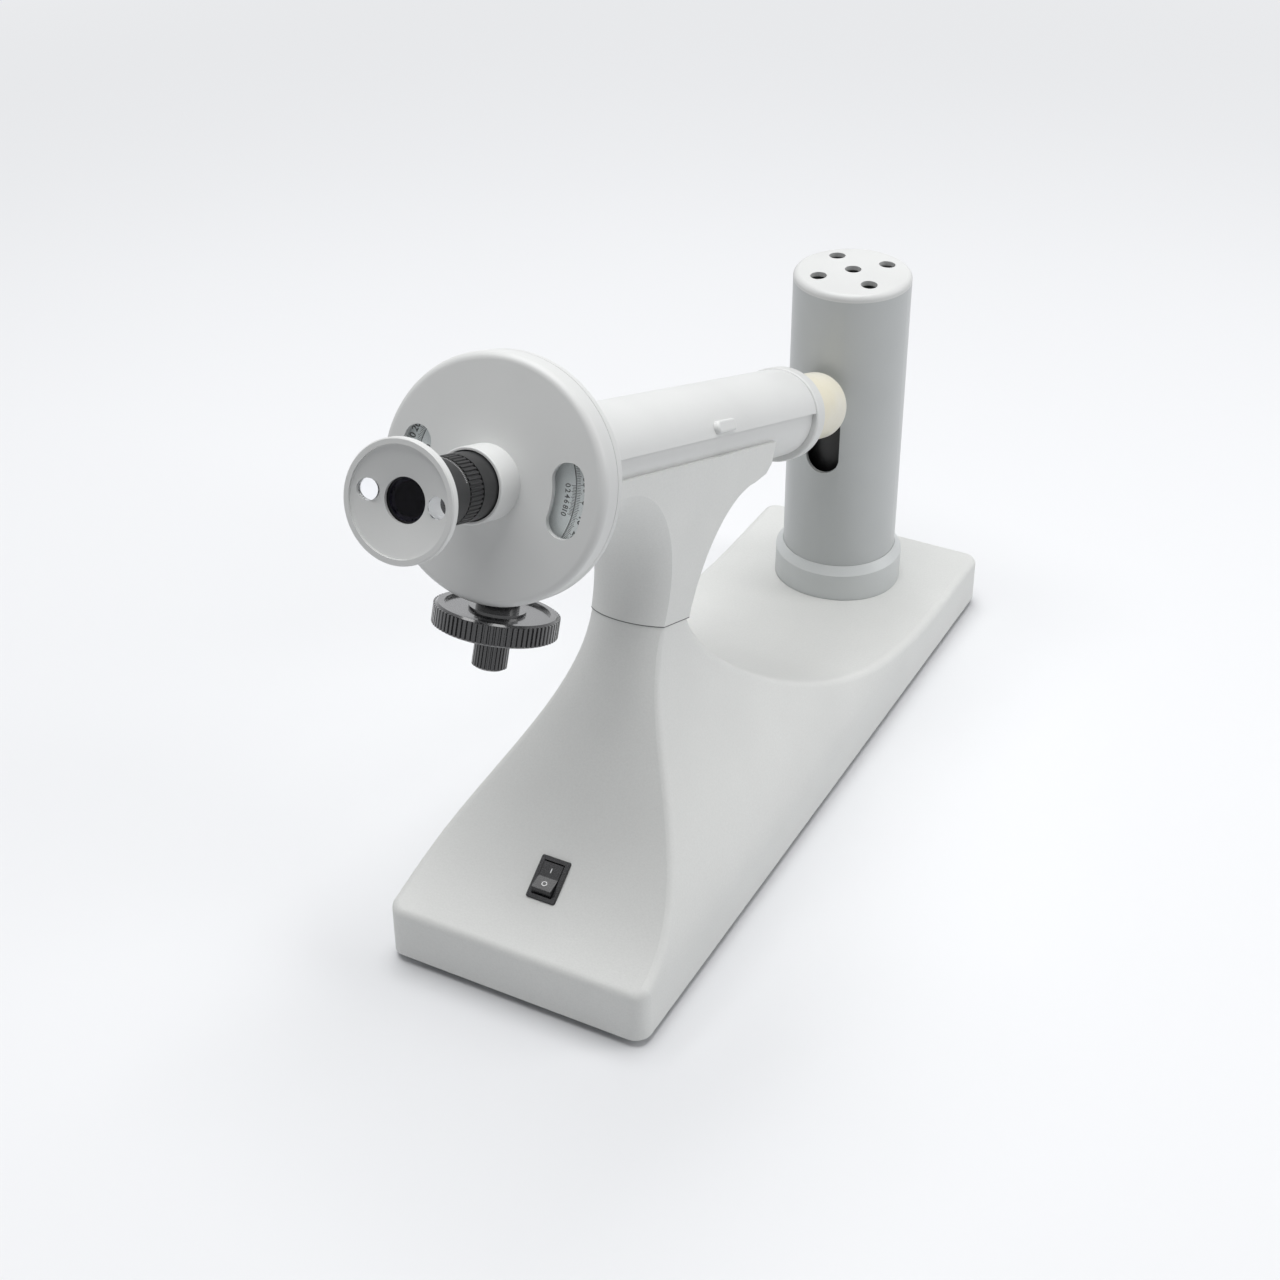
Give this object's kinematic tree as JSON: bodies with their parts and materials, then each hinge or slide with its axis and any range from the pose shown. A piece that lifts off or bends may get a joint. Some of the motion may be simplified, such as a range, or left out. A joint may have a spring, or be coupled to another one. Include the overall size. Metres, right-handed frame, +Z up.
{
  "type": "polarimeter",
  "caption": "Desk polarimeter: inclined half-round sample chamber on a swept cast base, dial head with handwheel, eyepiece with reading lenses, and a lamp column.",
  "frame": {"origin": "middle of the footprint box on the table, under the feet", "axes": "+Z up, +Y from the eyepiece towards the lamp column, +X to the right of the person at the eyepiece"},
  "size_m": [0.135, 0.491, 0.3209],
  "materials": {
    "cast_paint": "fine textured pale grey enamel",
    "head_paint": "satin pale grey enamel",
    "column_paint": "satin grey enamel, slightly blue",
    "ring_paint": "satin light grey enamel",
    "nose_paint": "satin cream enamel",
    "black_plastic": "black moulded plastic",
    "black_metal": "black anodised aluminium",
    "steel": "zinc plated steel",
    "brass": "turned brass",
    "scale_aluminium": "pale matt scale plate",
    "glass": "clear glass",
    "dark_filter": "tinted polarizing film between glass",
    "rubber": "black rubber"
  },
  "bodies": {
    "root": {"ballast_core": "steel", "ballast_winding": "black_plastic", "base_casting": "cast_paint", "bearing_sleeve": "brass", "bottom_plate": "steel", "bottom_plate_screws": "steel", "chamber_end_ring": "black_metal", "chamber_windows": "glass", "colour_filter": "dark_filter", "column_ring": "ring_paint", "condenser_lens": "glass", "cover_screws": "steel", "dial_cover": "head_paint", "dial_housing": "head_paint", "foot_screws": "steel", "half_shade_plate": "dark_filter", "head_bracket": "cast_paint", "hinge_pins": "steel", "housing_screws": "steel", "inlet_pins": "steel", "lamp_base": "brass", "lamp_bulb": "glass", "lamp_shield": "black_metal", "lamp_socket": "black_plastic", "mains_inlet": "black_plastic", "neck_bolts": "steel", "nose_tube": "nose_paint", "objective_lens": "glass", "polarizer": "dark_filter", "polarizer_mount": "black_metal", "rear_collar": "head_paint", "ring_screws": "steel", "rubber_feet": "rubber", "sample_trough": "head_paint", "shaft_bush": "black_plastic", "switch_housing": "black_plastic", "telescope_tube": "black_metal", "vernier_plates": "scale_aluminium", "vernier_screws": "steel", "window_glasses": "glass"},
    "dial": {"dial_disc": "scale_aluminium", "crown_gear": "brass", "dial_screws": "steel", "analyzer_tube": "brass", "analyzer": "dark_filter", "retaining_ring": "steel"},
    "handwheel": {"handwheel": "black_plastic", "fine_knob": "black_plastic", "handwheel_shaft": "steel", "pinion": "brass"},
    "lid": {"chamber_lid": "head_paint", "lid_pull": "head_paint"},
    "rocker": {"switch_rocker": "black_plastic"},
    "focus": {"focus_ring": "black_metal"},
    "eyepiece": {"eyepiece_tube": "black_metal", "eyepiece_lens": "glass", "magnifier_dish": "head_paint", "magnifier_lenses": "glass"},
    "lamp_cover": {"lamp_cover": "column_paint", "lamp_cover_cap": "column_paint"}
  },
  "joints": [
    {"name": "dial_turn", "type": "hinge", "parent": "root", "child": "dial", "pos_m": [0, -0.16473, 0.2707], "axis": [0, 0.9397, -0.342], "continuous": true},
    {"name": "handwheel_spin", "type": "hinge", "parent": "root", "child": "handwheel", "pos_m": [0, -0.17539, 0.21073], "axis": [0, 0.342, 0.9397], "continuous": true},
    {"name": "lid_hinge", "type": "hinge", "parent": "root", "child": "lid", "pos_m": [-0.0249, -0.02429, 0.22384], "axis": [0, -0.9397, 0.342], "range_deg": [0, 105]},
    {"name": "rocker_tilt", "type": "hinge", "parent": "root", "child": "rocker", "pos_m": [0, -0.14087, 0.04619], "axis": [1, 0, 0], "range_deg": [0, 24]},
    {"name": "focus_turn", "type": "hinge", "parent": "root", "child": "focus", "pos_m": [0, -0.20232, 0.28438], "axis": [0, -0.9397, 0.342], "range_deg": [-90, 90]},
    {"name": "eyepiece_slide", "type": "slide", "parent": "root", "child": "eyepiece", "axis": [0, -0.9397, 0.342], "range_m": [-0.002, 0.002]},
    {"name": "lamp_cover_lift", "type": "slide", "parent": "root", "child": "lamp_cover", "axis": [0, 0, 1], "range_m": [0, 0.03]}
  ],
  "couplings": [
    {"joint": "handwheel_spin", "follows": "dial_turn", "ratio": -5},
    {"joint": "eyepiece_slide", "follows": "focus_turn", "m_per_rad": 0.001273}
  ]
}
